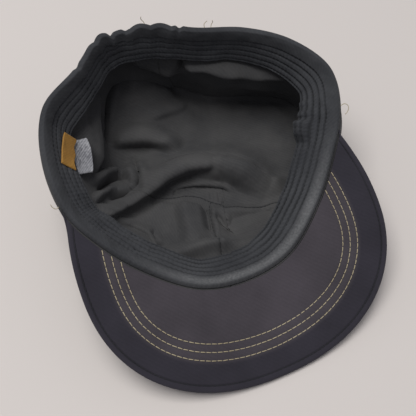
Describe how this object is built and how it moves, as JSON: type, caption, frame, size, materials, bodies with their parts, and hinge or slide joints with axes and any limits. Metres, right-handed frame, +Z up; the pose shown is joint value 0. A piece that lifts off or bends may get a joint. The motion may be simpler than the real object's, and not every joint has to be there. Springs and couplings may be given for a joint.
{
  "type": "cadet cap",
  "caption": "Soft black cloth cadet cap lying upside down on its flat crown, with open head hollow, sweatband gathered at the back, curved visor and blank inner labels.",
  "frame": {"origin": "on the floor, under the middle of the whole cap's box", "axes": "+Z up out of the head hollow, -Y the way the visor points, +X to the right as seen over the visor from above"},
  "size_m": [0.21, 0.2492, 0.0918],
  "materials": {
    "black_twill": "washed black cotton twill, matt, softly creased",
    "band_twill": "black cotton twill tape, pressed, in stitched ribs",
    "visor_twill": "charcoal cotton twill over a visor board, with tan topstitching",
    "tag_weave": "mustard woven damask tape, folded",
    "label_satin": "grey-white satin label, crumpled"
  },
  "bodies": {
    "root": {"crown_top": "black_twill", "side_wall_left": "black_twill", "side_wall_right": "black_twill", "sweatband": "band_twill", "visor": "visor_twill", "loop_tag": "tag_weave", "care_label": "label_satin"}
  },
  "joints": []
}
